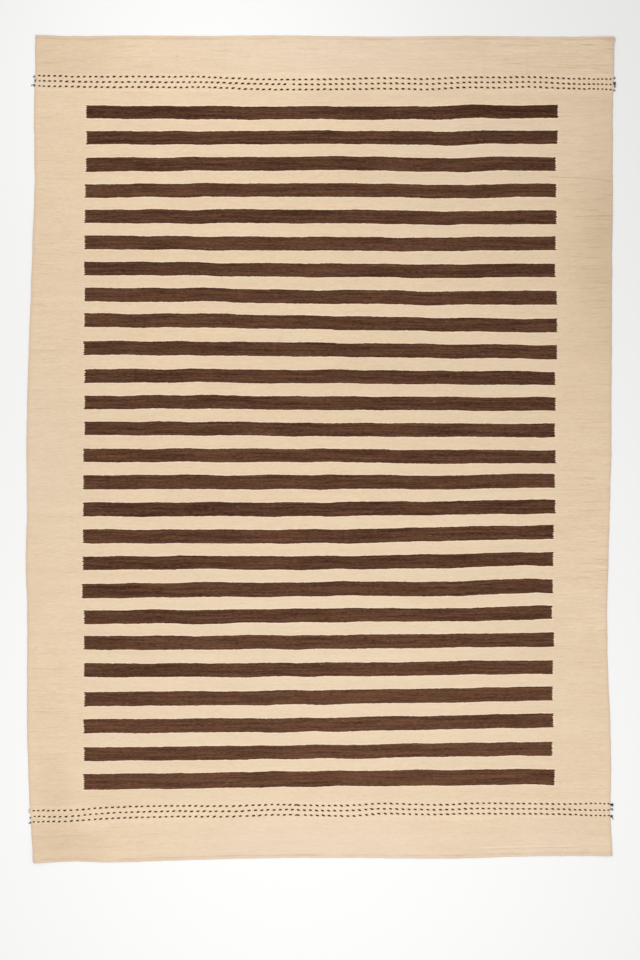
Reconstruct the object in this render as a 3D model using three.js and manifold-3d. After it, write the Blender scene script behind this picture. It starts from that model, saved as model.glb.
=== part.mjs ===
// A large flat-woven wool rug lying face up: one sheet of cloth with uneven edges, and the loose ends of
// the brown yarn that comes out of both selvedges. Millimetres, +Z up out of the face, +Y along the rug's
// length. The origin is the middle of the whole rug's box, on the surface that it lies on.
import * as THREE from 'three';
import { mergeVertices } from 'three/addons/utils/BufferGeometryUtils.js';
import Module from 'manifold-3d';

const wasm = await Module();
wasm.setup();

// Driving sizes
const clothThickness = 3;
const yarnRadius = 2.4;
const knotHeight = 6;
const gapToCloth = 0.5;
const sectionSides = 8;
const tailSteps = 5;
const knotSides = 12;
const knotRings = 8;

// The four corners: how far each lies from the middle line, and how far up or down the rug's length.
const corners = {
  topLeft: { across: -1219, along: 1767 },
  topRight: { across: 1252, along: 1760 },
  bottomRight: { across: 1243, along: -1737 },
  bottomLeft: { across: -1229, along: -1767 },
};

// The two selvedges, read down the rug. Each row is one stretch of both.
const selvedges = [
  { along: 1597, left: -1221, right: 1250 },
  { along: 1448, left: -1225, right: 1246 },
  { along: 1127, left: -1222, right: 1246 },
  { along: 892, left: -1230, right: 1244 },
  { along: 636, left: -1239, right: 1242 },
  { along: 359, left: -1250, right: 1240 },
  { along: -4, left: -1257, right: 1239 },
  { along: -303, left: -1255, right: 1233 },
  { along: -453, left: -1260, right: 1228 },
  { along: -730, left: -1254, right: 1221 },
  { along: -1029, left: -1254, right: 1228 },
  { along: -1221, left: -1254, right: 1237 },
  { along: -1371, left: -1250, right: 1239 },
  { along: -1563, left: -1240, right: 1236 },
];

// The two turned-under ends, read from the left selvedge to the right one.
const ends = [
  { across: -1071, top: 1763, bottom: -1761 },
  { across: -901, top: 1765, bottom: -1765 },
  { across: -666, top: 1765, bottom: -1758 },
  { across: -431, top: 1764, bottom: -1751 },
  { across: -153, top: 1766, bottom: -1746 },
  { across: 103, top: 1760, bottom: -1746 },
  { across: 338, top: 1760, bottom: -1746 },
  { across: 573, top: 1763, bottom: -1748 },
  { across: 829, top: 1760, bottom: -1742 },
  { across: 1106, top: 1757, bottom: -1738 },
];

// The loose yarn ends, three at each end of both selvedges. Each is a knot against the selvedge and a
// short tail. The pairs are [outwards from the cloth, up the rug]: the knot's half sizes, and the two
// places, counted from the knot's middle, that the tail bends at and ends at.
const yarnEnds = [
  { name: 'top_left_1', side: -1, along: 1591, knot: [4.5, 4.5], bend: [2, -2], tip: [4, -4] },
  { name: 'top_left_2', side: -1, along: 1573, knot: [4.5, 7], bend: [2, -3], tip: [3, -6] },
  { name: 'top_left_3', side: -1, along: 1552, knot: [5, 6], bend: [7, 2], tip: [13, 1] },
  { name: 'top_right_1', side: 1, along: 1583, knot: [3.5, 4.5], bend: [1, 3], tip: [3, 6] },
  { name: 'top_right_2', side: 1, along: 1564, knot: [5.5, 6], bend: [1, -10], tip: [0, -19] },
  { name: 'top_right_3', side: 1, along: 1531, knot: [4, 4], bend: [3, 0], tip: [6, -1] },
  { name: 'bottom_left_1', side: -1, along: -1538, knot: [3, 4], bend: [6, -8], tip: [1, -17] },
  { name: 'bottom_left_2', side: -1, along: -1574, knot: [4.5, 4.5], bend: [2, -2], tip: [4, -4] },
  { name: 'bottom_left_3', side: -1, along: -1595, knot: [4.5, 4.5], bend: [4, -2], tip: [8, -5] },
  { name: 'bottom_right_1', side: 1, along: -1519, knot: [6, 7], bend: [2, -3], tip: [3, -7] },
  { name: 'bottom_right_2', side: 1, along: -1538, knot: [3.5, 5], bend: [2, -3], tip: [4, -6] },
  { name: 'bottom_right_3', side: 1, along: -1566, knot: [5, 5], bend: [5, -8], tip: [8, -18] },
];

const creamWool = new THREE.MeshStandardMaterial({ color: 0xe6cda8, roughness: 0.95, metalness: 0 });
const brownWool = new THREE.MeshStandardMaterial({ color: 0x553828, roughness: 0.95, metalness: 0 });

// A closed mesh as a solid, with its shared vertices merged.
function solidOf(geometry) {
  const bare = geometry.index ? geometry.toNonIndexed() : geometry.clone();
  bare.deleteAttribute('normal');
  bare.deleteAttribute('uv');
  const merged = mergeVertices(bare, 1e-4);
  const mesh = new wasm.Mesh({
    numProp: 3,
    vertProperties: new Float32Array(merged.attributes.position.array),
    triVerts: new Uint32Array(merged.index.array),
  });
  return new wasm.Manifold(mesh);
}

// A solid's vertices and triangles as a geometry.
function geometryOf(solid) {
  const mesh = solid.getMesh();
  const geometry = new THREE.BufferGeometry();
  geometry.setAttribute('position', new THREE.BufferAttribute(mesh.vertProperties, 3));
  geometry.setIndex(new THREE.BufferAttribute(mesh.triVerts, 1));
  geometry.computeVertexNormals();
  return geometry;
}

// One selvedge as points from its top corner to its bottom corner.
function selvedgeLine(side) {
  const [column, top, bottom] = side < 0
    ? ['left', corners.topLeft, corners.bottomLeft]
    : ['right', corners.topRight, corners.bottomRight];
  const between = selvedges.map((row) => ({ across: row[column], along: row.along }));
  return [top, ...between, bottom];
}

// How far a selvedge lies from the middle line at a place along the rug, on straight runs between points.
function selvedgeAt(side, along) {
  const line = selvedgeLine(side);
  const after = line.findIndex((point) => point.along <= along);
  const upper = line[after - 1];
  const lower = line[after];
  const share = (upper.along - along) / (upper.along - lower.along);
  return upper.across + share * (lower.across - upper.across);
}

// The cloth: the outline of its four uneven sides, clockwise from the bottom left, raised by its thickness.
function makeCloth() {
  const outline = [
    ...selvedgeLine(-1).reverse(),
    ...ends.map((row) => ({ across: row.across, along: row.top })),
    ...selvedgeLine(1),
    ...ends.map((row) => ({ across: row.across, along: row.bottom })).reverse(),
  ];
  const shape = new THREE.Shape(outline.map((point) => new THREE.Vector2(point.across, point.along)));
  const geometry = new THREE.ExtrudeGeometry(shape, { depth: clothThickness, bevelEnabled: false });
  const cloth = new THREE.Mesh(geometry, creamWool);
  cloth.name = 'kilim_cloth';
  return cloth;
}

// One loose yarn end: a flattened ball for the knot and a round tail bent through three points, joined,
// both lying on the surface just clear of the selvedge.
function makeYarnEnd(row) {
  const knot = new THREE.SphereGeometry(1, knotSides, knotRings);
  knot.rotateX(Math.PI / 2);
  const [knotOut, knotUp] = row.knot;
  knot.scale(knotOut, knotUp, knotHeight / 2);
  knot.translate(0, 0, knotHeight / 2);

  const tailPath = new THREE.CatmullRomCurve3([
    new THREE.Vector3(0, 0, yarnRadius),
    new THREE.Vector3(row.side * row.bend[0], row.bend[1], yarnRadius),
    new THREE.Vector3(row.side * row.tip[0], row.tip[1], yarnRadius),
  ]);
  const section = new THREE.Shape();
  for (let i = 0; i < sectionSides; i += 1) {
    const angle = (2 * Math.PI * i) / sectionSides;
    const x = yarnRadius * Math.cos(angle);
    const y = yarnRadius * Math.sin(angle);
    if (i === 0) {
      section.moveTo(x, y);
    } else {
      section.lineTo(x, y);
    }
  }
  section.closePath();
  const tail = new THREE.ExtrudeGeometry(section, {
    steps: tailSteps,
    extrudePath: tailPath,
    bevelEnabled: false,
  });

  const yarnEnd = new THREE.Mesh(geometryOf(solidOf(knot).add(solidOf(tail))), brownWool);
  yarnEnd.name = `yarn_end_${row.name}`;
  const outFromMiddle = selvedgeAt(row.side, row.along) + row.side * (gapToCloth + knotOut);
  yarnEnd.position.set(outFromMiddle, row.along, 0);
  return yarnEnd;
}

const rug = new THREE.Group();
rug.add(makeCloth());
for (const row of yarnEnds) {
  rug.add(makeYarnEnd(row));
}

// The rug is moved so that the middle of its whole box is the origin.
rug.updateMatrixWorld(true);
const box = new THREE.Box3().setFromObject(rug, true);
rug.position.set(-(box.min.x + box.max.x) / 2, -(box.min.y + box.max.y) / 2, -box.min.z);

export default rug;
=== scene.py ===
# A large flat-woven wool rug, a kilim, lying face up on a pale floor. Metres, +Z up out of its face, +Y
# along its length, +X towards its right selvedge. The tables give their sizes in millimetres.
import math

import bmesh
import bpy
import numpy as np
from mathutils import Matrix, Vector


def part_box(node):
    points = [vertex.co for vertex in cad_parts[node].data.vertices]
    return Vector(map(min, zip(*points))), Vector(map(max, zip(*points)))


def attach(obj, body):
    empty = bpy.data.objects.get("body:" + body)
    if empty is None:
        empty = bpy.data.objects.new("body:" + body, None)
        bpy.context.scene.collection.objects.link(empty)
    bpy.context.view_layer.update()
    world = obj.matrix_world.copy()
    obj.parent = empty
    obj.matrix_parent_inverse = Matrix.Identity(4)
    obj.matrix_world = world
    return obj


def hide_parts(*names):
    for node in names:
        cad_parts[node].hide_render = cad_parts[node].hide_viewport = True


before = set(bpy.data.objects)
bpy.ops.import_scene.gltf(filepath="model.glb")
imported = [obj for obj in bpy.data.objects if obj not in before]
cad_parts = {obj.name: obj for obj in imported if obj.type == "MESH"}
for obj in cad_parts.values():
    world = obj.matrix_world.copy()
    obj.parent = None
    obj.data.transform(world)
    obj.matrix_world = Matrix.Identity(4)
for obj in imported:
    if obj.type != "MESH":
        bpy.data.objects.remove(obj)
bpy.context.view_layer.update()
mm = 0.001

# The picture is taken straight from above, so a pixel has one length all over the rug.
picture = {
    "width": 640,  # pixels
    "height": 960,
    "metresPerPixel": 0.00427,
    "middleColumn": 320.97,  # the pixel that shows the rug's middle
    "middleRow": 449.0,
    "lens": 50.0,  # millimetres
    "sensor": 36.0,  # along the picture's longer side
}

# Everything that shines on the rug: a pale sky, a soft sun from the lower left, and two large lamps.
light = {
    "skyStrength": 0.645,
    "skyColour": (1.0, 1.0, 1.0, 1.0),
    "backdropColour": (0.688, 0.684, 0.680, 1.0),  # the tone of the far floor
    "sunStrength": 0.55,
    "sunWidth": math.radians(24),
    "sunTilt": (math.radians(-38), math.radians(-30), 0.0),
    "lamps": [
        {"name": "lower lamp", "place": (-0.12, -1.48, 3.31), "size": 1.4, "power": 39.5},
        {"name": "upper lamp", "place": (-0.5, 1.77, 1.6), "size": 0.9, "power": 6.5},
    ],
    "floorSize": 240.0,
    "floorColour": (0.9, 0.895, 0.89, 1.0),
}

# The cloth's four corners and its selvedges, read down the rug, and its two ends, read from left to right.
outline = {
    "corners": {"topLeft": (-1219, 1767), "topRight": (1252, 1760), "bottomLeft": (-1226, -1767),
                "bottomRight": (1243, -1737)},
    "selvedgeColumns": ("along", "left", "right"),
    "selvedges": [
        (1754, -1219, 1256),
        (1745, -1219, 1253),
        (1734, -1219, 1251),
        (1715, -1220, 1251),
        (1670, -1220, 1251),
        (1597, -1221, 1250),
        (1448, -1225, 1246),
        (1127, -1222, 1246),
        (892, -1230, 1244),
        (636, -1239, 1242),
        (359, -1250, 1240),
        (-4, -1257, 1239),
        (-303, -1255, 1233),
        (-453, -1260, 1228),
        (-730, -1254, 1221),
        (-1029, -1254, 1228),
        (-1221, -1254, 1237),
        (-1371, -1250, 1239),
        (-1563, -1240, 1236),
    ],
    "endColumns": ("across", "top", "bottom"),
    "ends": [
        (-1071, 1763, -1761),
        (-901, 1765, -1765),
        (-666, 1765, -1758),
        (-431, 1764, -1751),
        (-153, 1766, -1746),
        (103, 1762, -1746),
        (338, 1761, -1747),
        (573, 1764, -1748),
        (829, 1762, -1741),
        (1106, 1760, -1737),
    ],
}

# The woven bars, from the top end down: how far up the rug the middle of each runs at the left, in the
# middle and at the right, how wide it is, where it starts and stops across the rug, and how light its yarn
# is.
bars = {
    "columns": ("left", "middle", "right", "width", "starts", "stops", "shade"),
    "readAt": (-943, -4, 935),
    "rows": [
        (1439, 1434, 1441, 56, -1001, 1010, 0.34),
        (1328, 1330, 1331, 57, -1000, 1009, 0.38),
        (1214, 1219, 1218, 59, -1002, 1002, 0.41),
        (1103, 1106, 1104, 58, -1006, 1004, 0.61),
        (993, 993, 989, 59, -1008, 1005, 0.5),
        (882, 876, 878, 59, -1008, 1001, 0.59),
        (771, 763, 762, 58, -1010, 999, 0.47),
        (659, 650, 646, 59, -1008, 1006, 0.58),
        (550, 540, 527, 59, -1009, 1007, 0.61),
        (431, 424, 414, 60, -1012, 1007, 0.52),
        (312, 309, 302, 58, -1008, 1000, 0.5),
        (200, 196, 192, 58, -1009, 1001, 0.46),
        (88, 83, 79, 58, -1009, 998, 0.52),
        (-28, -28, -33, 57, -1013, 1001, 0.57),
        (-142, -141, -136, 61, -1014, 998, 0.63),
        (-258, -257, -246, 60, -1014, 999, 0.38),
        (-373, -373, -354, 60, -1016, 992, 0.53),
        (-488, -486, -469, 58, -1016, 991, 0.39),
        (-606, -598, -585, 61, -1019, 989, 0.46),
        (-717, -710, -699, 59, -1011, 986, 0.45),
        (-828, -824, -814, 60, -1011, 994, 0.55),
        (-945, -942, -931, 59, -1011, 990, 0.55),
        (-1068, -1060, -1045, 61, -1009, 988, 0.67),
        (-1183, -1177, -1159, 60, -1012, 991, 0.63),
        (-1303, -1293, -1279, 59, -1011, 986, 0.68),
        (-1422, -1408, -1400, 67, -1012, 997, 0.72),
    ],
}

# Where the weaver's lines ride up or sag a little, over a few bars at a time.
softWaves = {
    "columns": ("across", "along", "reachAcross", "reachAlong", "rise"),
    "rows": [
        (510, 1120, 190, 260, -7),
        (510, -100, 180, 90, -6),
        (508, -630, 190, 110, -8),
        (500, 640, 160, 150, -4),
        (-510, 640, 190, 130, 4),
        (-516, 210, 200, 260, 3),
        (-516, -510, 170, 90, 6),
        (-500, -715, 150, 60, -5),
        (20, 1437, 90, 160, 3),
        (684, 1450, 70, 60, 5),
    ],
    "small": 0.6 * mm,  # the size of the waves that are drawn at random
    "lengths": (0.21, 0.27, 0.33, 0.41, 0.55, 0.8),  # metres across the rug from one of those to the next
    "own": 0.35 * mm,  # and the size of each line's own unevenness
    "ownWaves": ((0.043, 2.4), (0.021, 5.1)),  # its two lengths over 2 pi, and their steps from line to line
    "seed": 12,
}

# The rows of two-strand twining near both ends: where each of the three rows runs, at places across the rug.
dashRows = {
    "columns": ("across", "first", "second", "third"),
    "top": [
        (-1222, 1595, 1573, 1551),
        (-1020, 1590, 1568, 1546),
        (-740, 1590, 1567, 1545),
        (-450, 1587, 1565, 1543),
        (-270, 1579, 1559, 1536),
        (100, 1580, 1558, 1536),
        (320, 1583, 1561, 1538),
        (470, 1580, 1559, 1536),
        (620, 1587, 1565, 1544),
        (770, 1586, 1566, 1543),
        (880, 1588, 1567, 1546),
        (1080, 1581, 1559, 1538),
        (1245, 1579, 1556, 1535),
    ],
    "bottom": [
        (-1240, -1543, -1568, -1591),
        (-1100, -1544, -1570, -1590),
        (-940, -1532, -1556, -1579),
        (-640, -1524, -1547, -1570),
        (-345, -1524, -1546, -1568),
        (-220, -1518, -1540, -1562),
        (10, -1523, -1544, -1565),
        (135, -1522, -1544, -1567),
        (250, -1514, -1536, -1557),
        (380, -1516, -1538, -1559),
        (510, -1520, -1541, -1561),
        (640, -1513, -1535, -1556),
        (770, -1513, -1536, -1557),
        (1050, -1516, -1539, -1560),
        (1190, -1514, -1542, -1565),
        (1240, -1515, -1542, -1565),
    ],
    "share": 0.3,  # how much of the soft waves the rows follow
}

cloth = {
    "underside": 0.45 * mm,  # how high the cloth's underside lies over the floor
    "thickness": 2.5 * mm,
    "barRelief": 0.3 * mm,  # the bars stand out by this on both faces
    "selvedgeRelief": 0.5 * mm,  # and so does the cord of outer warps at each selvedge
    "columnStep": 26 * mm,
    "fieldStep": 15 * mm,
    "edgeColumns": (0.0, 1.2, 2.5, 4.0, 6.0, 9.0, 14.0, 22.0, 36.0),  # millimetres in from each selvedge
    "hemRows": (3.0, 6.0, 8.5, 10.0, 11.5, 13.0, 16.0),  # and from each end
    "hemRelief": 0.35 * mm,  # the turned end stands out by this, with a groove along its inner edge
    "hemGroove": 0.35 * mm,
    "hemWidth": 11.5 * mm,
    "hemSlope": 2.5 * mm,
    "clear": 4 * mm,  # even rows and columns keep this far from those of the hem and the creases
    "grooveReach": 1.6 * mm,
    "barRows": (0.0, 0.04, 0.35, 0.65, 0.96),  # shares of the way down a bar, and down a gap between two
    "endTurn": (0.0, 30.0, 60.0, 90.0),  # degrees around the rounded ends of the rug
    "rimTurn": (45.0, 90.0, 135.0),  # and around the rounded selvedges
    "barEndSlope": (-2 * mm, 4 * mm),  # where the relief of a bar rises, in from its ends
    "barSideSlope": 2 * mm,
    "cordMiddle": 3 * mm,  # in from the selvedge, and as far to either side
    "backRelief": 0.6,  # the relief is this much of the face's on the back
    "nicks": 1.1 * mm,  # how far the selvedge's rows wander in and out
    "nickReach": 6 * mm,
    "nickShares": (0.35, 1.2),  # row by row, and slowly over a few rows
    "nickRows": 7,
    "endTeeth": 0.5 * mm,
    "rimMargin": 6 * mm,
    "flat": (2.50, 3.53),
    "seed": 5,
}

# Where the cloth is darker, or below zero paler, where the brown is lighter, and where the cream is
# streakier.
# The first row is painted shade along the upper right selvedge, the third painted shade on the curled top
# right corner, and the last rows are painted shade along two upright creases.
shading = {
    "columns": ("across", "along", "reachAcross", "reachAlong", "shade", "brown", "streaks"),
    "rows": [
        (1250, 850, 165, 520, 0.32, 0.0, 0.6),
        (1150, 1690, 420, 110, 0.01, 0.0, 0.9),
        (1245, 1752, 30, 22, 0.25, 0.0, 0.0),
        (0, 1700, 700, 100, -0.28, 0.0, 0.35),
        (-1100, 1690, 350, 120, 0.15, 0.0, 0.3),
        (650, 1330, 330, 100, -0.15, 0.0, 0.2),
        (150, 290, 750, 200, 0.05, 0.0, 0.0),
        (-1180, 0, 170, 450, -0.12, 0.0, 0.0),
        (0, -1000, 1100, 600, -0.16, 0.0, 0.0),
        (0, -1700, 650, 130, -0.33, 0.0, 0.1),
        (1000, -1690, 260, 110, -0.2, 0.0, 0.3),
        (-1150, -1050, 120, 280, 0.08, 0.0, 0.3),
        (-1080, -1680, 300, 110, 0.08, 0.0, 0.2),
        # Painted shade on the pucker near the bottom left corner.
        (-1130, -1480, 80, 170, 0.16, 0.0, 0.1),
        (-1060, -1690, 200, 80, 0.1, 0.0, 0.2),
        (1190, -500, 110, 500, 0.0, 0.0, 0.8),
        (750, 1260, 350, 150, -0.09, 0.0, 0.1),
        (980, 1440, 450, 26, 0.0, -0.55, 0.0),
        (-980, 1438, 380, 26, 0.0, -0.42, 0.0),
        (-980, 1329, 250, 26, 0.0, -0.2, 0.0),
        (850, 1331, 400, 26, 0.0, -0.14, 0.0),
        (-600, -945, 420, 30, 0.0, -0.43, 0.0),
        (-880, -690, 220, 150, 0.0, -0.12, 0.0),
        (-1180, 600, 90, 500, 0.0, 0.0, 0.3),
        (-200, 1385, 450, 90, 0.0, 0.09, 0.0),
        (700, 700, 420, 480, 0.0, -0.05, 0.0),
        (450, -1150, 480, 300, 0.0, 0.07, 0.0),
        (-350, 0, 380, 600, 0.0, 0.05, 0.0),
        # Painted shade along the two upright creases.
        (694, 1640, 6, 120, 0.14, 0.0, 0.0),
        (698, 1340, 6, 170, 0.08, -0.05, 0.0),
        (880, 1640, 6, 130, 0.12, 0.0, 0.0),
        (905, 1400, 6, 90, 0.08, -0.04, 0.0),
    ],
}

# Ridges and lifted places of the cloth as it lies: where the middle is, how far it reaches and how high.
folds = {
    "columns": ("across", "along", "reachAcross", "reachAlong", "height"),
    "rows": [
        (1240, 1750, 90, 70, 4.0),
        (-1225, -1760, 110, 90, 4.5),
        (-1215, 1760, 70, 60, 2.5),
        (1240, -1735, 80, 60, 2.5),
        (694, 1590, 8, 90, 1.3),
        (694, 1330, 9, 160, 0.6),
        (880, 1570, 8, 130, 1.2),
        (905, 1430, 8, 60, 0.8),
        (-1120, -1450, 40, 110, 3.0),
        (-1085, -1610, 26, 80, 2.2),
        (-1010, -1690, 120, 40, 1.6),
        (420, -1745, 160, 30, 1.6),
        (-300, 1755, 200, 26, 1.2),
        (1180, 300, 60, 260, 1.6),
        (1190, -620, 50, 220, 1.8),
        (-1200, 780, 50, 260, 1.6),
        (-1215, -380, 50, 200, 1.4),
    ],
    "creases": (694, 880),  # how far across the rug the two upright creases run
    "creaseColumns": (-18, -12, -6, 0, 6, 12, 18),
    "ripple": 1.3 * mm,  # the selvedges' slow ripple
    "rippleWaves": ((-1, 0.43, 0.6), (1, 0.51, 2.1)),  # the side, the length in metres and the phase
    "rippleReach": 45 * mm,
    "swell": 0.5 * mm,  # the whole cloth's own slow unevenness
}


# A picture's pixel as a place on the floor.
def placeOf(column, row):
    step = picture["metresPerPixel"]
    return (column - picture["middleColumn"]) * step, (picture["middleRow"] - row) * step


# The camera looks straight down from where the picture's longer side takes in its whole length.
def makeCamera():
    data = bpy.data.cameras.new("camera")
    data.lens = picture["lens"]
    data.sensor_width = picture["sensor"]
    across, along = placeOf(picture["width"] / 2, picture["height"] / 2)
    reach = picture["height"] * picture["metresPerPixel"]
    height = reach * picture["lens"] / picture["sensor"] + cloth["underside"] + cloth["thickness"]
    camera = bpy.data.objects.new("camera", data)
    camera.location = (across, along, height)
    bpy.context.scene.collection.objects.link(camera)
    bpy.context.scene.camera = camera


def makeLights():
    scene = bpy.context.scene
    scene.view_settings.view_transform = "Standard"
    world = bpy.data.worlds.new("studio")
    scene.world = world
    world.use_nodes = True
    nodes, links = world.node_tree.nodes, world.node_tree.links
    nodes.clear()
    rays = nodes.new("ShaderNodeLightPath")
    shine = nodes.new("ShaderNodeBackground")
    shine.inputs["Color"].default_value = light["skyColour"]
    shine.inputs["Strength"].default_value = light["skyStrength"]
    seen = nodes.new("ShaderNodeBackground")
    seen.inputs["Color"].default_value = light["backdropColour"]
    mix = nodes.new("ShaderNodeMixShader")
    links.new(rays.outputs["Is Camera Ray"], mix.inputs[0])
    links.new(shine.outputs[0], mix.inputs[1])
    links.new(seen.outputs[0], mix.inputs[2])
    links.new(mix.outputs[0], nodes.new("ShaderNodeOutputWorld").inputs["Surface"])

    sunData = bpy.data.lights.new("soft sun", "SUN")
    sunData.energy = light["sunStrength"]
    sunData.angle = light["sunWidth"]
    sun = bpy.data.objects.new("soft sun", sunData)
    sun.rotation_euler = light["sunTilt"]
    scene.collection.objects.link(sun)

    for row in light["lamps"]:
        lampData = bpy.data.lights.new(row["name"], "AREA")
        lampData.shape = "DISK"
        lampData.size = row["size"]
        lampData.energy = row["power"]
        lamp = bpy.data.objects.new(row["name"], lampData)
        lamp.location = row["place"]
        lamp.visible_camera = False
        scene.collection.objects.link(lamp)


# The wire that comes out of a node's socket. Sums written on wires add Math nodes to the material.
class Wire:
    def __init__(self, shader, socket):
        self.shader = shader
        self.socket = socket

    def math(self, operation, *values):
        inputs = dict(enumerate(values))
        return self.shader.add("ShaderNodeMath", {"operation": operation}, inputs)

    def __add__(self, other):
        return self.math("ADD", self, other)

    def __radd__(self, other):
        return self.math("ADD", other, self)

    def __sub__(self, other):
        return self.math("SUBTRACT", self, other)

    def __rsub__(self, other):
        return self.math("SUBTRACT", other, self)

    def __mul__(self, other):
        return self.math("MULTIPLY", self, other)

    def __rmul__(self, other):
        return self.math("MULTIPLY", other, self)

    def __abs__(self):
        return self.math("ABSOLUTE", self)


# A material and its node tree, with the few kinds of node that the rug's wool needs.
class Shader:
    def __init__(self, name):
        self.material = bpy.data.materials.new(name)
        self.material.use_nodes = True
        self.tree = self.material.node_tree
        self.tree.nodes.clear()

    # One node: its type, then its settings, then the value or the wire for each of its sockets.
    def add(self, kind, settings=None, inputs=None, output=0):
        node = self.tree.nodes.new(kind)
        for name, value in (settings or {}).items():
            setattr(node, name, value)
        for name, value in (inputs or {}).items():
            if isinstance(value, Wire):
                self.tree.links.new(value.socket, node.inputs[name])
            else:
                node.inputs[name].default_value = value
        return Wire(self, node.outputs[output]) if node.outputs else None

    # One of the piece's own UV maps, as its two wires.
    def uv(self, name):
        both = self.add("ShaderNodeUVMap", {"uv_map": name})
        apart = self.add("ShaderNodeSeparateXYZ", None, {0: both})
        return apart, Wire(self, apart.socket.node.outputs[1])

    def attribute(self, name):
        return self.add("ShaderNodeAttribute", {"attribute_name": name}, None, "Fac")

    # Noise from about -0.5 to 0.5 over two wires, each first multiplied by its own number of grains a metre.
    def noise(self, u, v, grainsU, grainsV, seed, detail=2.0, roughness=0.55):
        place = self.add("ShaderNodeCombineXYZ", None, {0: u * grainsU, 1: v * grainsV, 2: seed})
        inputs = {"Vector": place, "Scale": 1.0, "Detail": detail, "Roughness": roughness}
        return self.add("ShaderNodeTexNoise", None, inputs) - 0.5

    # From 0 below low to 1 above high, with soft shoulders. With low over high it falls instead.
    def ease(self, value, low, high):
        settings = {"interpolation_type": "SMOOTHSTEP"}
        if low < high:
            return self.add("ShaderNodeMapRange", settings, {0: value, 1: low, 2: high, 3: 0.0, 4: 1.0})
        return self.add("ShaderNodeMapRange", settings, {0: value, 1: high, 2: low, 3: 1.0, 4: 0.0})

    def sine(self, value):
        return value.math("SINE", value)

    # Every noise of a table, by its name.
    def noises(self, u, v, table):
        return {name: self.noise(u, v, *row) for name, row in table.items()}

    # From one colour to another by a factor.
    def mix(self, factor, first, second):
        settings = {"data_type": "RGBA", "clamp_factor": True}
        return self.add("ShaderNodeMix", settings, {0: factor, 6: first, 7: second}, 2)

    # The bump of a height in metres.
    def bump(self, height, strength):
        return self.add("ShaderNodeBump", None, {"Height": height, "Strength": strength, "Distance": 1.0})

    # The wool itself, matt and with a faint sheen.
    def finish(self, colour, roughness, normal, sheen):
        inputs = {"Base Color": colour, "Roughness": roughness, "Normal": normal, "Specular IOR Level": 0.1,
                  "Sheen Weight": sheen, "Sheen Roughness": 0.5}
        wool = self.add("ShaderNodeBsdfPrincipled", None, inputs)
        self.add("ShaderNodeOutputMaterial", None, {"Surface": wool})
        return self.material


# One column of a table, by its name, in metres.
def columnOf(table, columns, name):
    return np.array([row[columns.index(name)] for row in table], dtype=float) * mm


# A smooth line through given points: between two of them it is the cubic whose slope at each is the mean
# slope between that point's neighbours. Past the first and the last point it stays level.
def smoothThrough(places, heights, at):
    slopes = np.gradient(heights, places)
    after = np.clip(np.searchsorted(places, at), 1, len(places) - 1)
    before = after - 1
    gap = places[after] - places[before]
    t = np.clip((at - places[before]) / gap, 0.0, 1.0)
    return (
        heights[before] * (1 + 2 * t) * (1 - t) ** 2
        + heights[after] * t**2 * (3 - 2 * t)
        + gap * slopes[before] * t * (1 - t) ** 2
        - gap * slopes[after] * t**2 * (1 - t)
    )


# From 0 below low to 1 above high: 3t^2 - 2t^3 between them.
def ease(value, low, high):
    t = np.clip((value - low) / (high - low), 0.0, 1.0)
    return t * t * (3 - 2 * t)


# The tables count across the rug from a line that lies a fraction of a millimetre beside the frame's middle.
selvedgeColumns = outline["selvedgeColumns"]
corners = {name: np.array(place) * mm for name, place in outline["corners"].items()}
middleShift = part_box("kilim_cloth")[0][0] - columnOf(outline["selvedges"], selvedgeColumns, "left").min()


# One selvedge's distance from the middle line at places along the rug, smooth through its table.
def selvedgeAt(side, along):
    name = "left" if side < 0 else "right"
    top, bottom = [corners[end + name.capitalize()] for end in ("top", "bottom")]
    table = outline["selvedges"][::-1]
    places = [bottom[1], *columnOf(table, selvedgeColumns, "along"), top[1]]
    across = [bottom[0], *columnOf(table, selvedgeColumns, name), top[0]]
    return smoothThrough(np.array(places), np.array(across), along) + middleShift


# The sum of a table's bells, each its size in one column times exp(-x^2 - y^2), with x and y the distances
# from its middle over its two reaches.
def bellsAt(table, name, across, along):
    total = np.zeros(np.broadcast(across, along).shape)
    size = table["columns"].index(name)
    for row in table["rows"]:
        middle, height, reachAcross, reachAlong = np.array(row[:4], dtype=float) * mm
        x = (across - middle) / reachAcross
        y = (along - height) / reachAlong
        total += row[size] * np.exp(-(x**2) - y**2)
    return total


# How far a weaver's line runs above its table: the soft waves' bells, and a sum of small sines that
# neighbouring lines share.
def waveAt(across, along):
    total = bellsAt(softWaves, "rise", across, along) * mm
    draw = np.random.default_rng(softWaves["seed"])
    for lengthAcross in softWaves["lengths"]:
        lengthAlong = draw.uniform(0.3, 0.9) * draw.choice((-1, 1))
        phase = draw.uniform(0, 2 * math.pi)
        turns = across / lengthAcross + along / lengthAlong
        total += softWaves["small"] * np.sin(2 * math.pi * turns + phase)
    return total


# How high the cloth is lifted off the floor: bells for its folds, a ripple that dies away inwards from each
# selvedge, and a slow swell. It is never below zero.
def liftAt(across, along):
    total = bellsAt(folds, "height", across, along) * mm
    for side, length, phase in folds["rippleWaves"]:
        inwards = np.maximum(side * (selvedgeAt(side, along) - across), 0.0)
        wave = 0.5 + 0.5 * np.sin(2 * math.pi * along / length + phase + 1.3 * np.sin(along / 0.17))
        total += folds["ripple"] * np.exp(-inwards / folds["rippleReach"]) * wave
    swell = 1 + np.sin(across / 0.31 + 1.1 * np.sin(along / 0.42)) * np.sin(along / 0.23 + 0.7)
    return total + 0.5 * folds["swell"] * swell


# The cloth's face, on which the dashes lie, and its back.
def faceAt(across, along):
    return cloth["underside"] + cloth["thickness"] + liftAt(across, along)


def backAt(across, along):
    return cloth["underside"] + liftAt(across, along)


linesAtEnd = 4  # the end and its three rows of dashes, before the bars' edges and again after them


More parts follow.
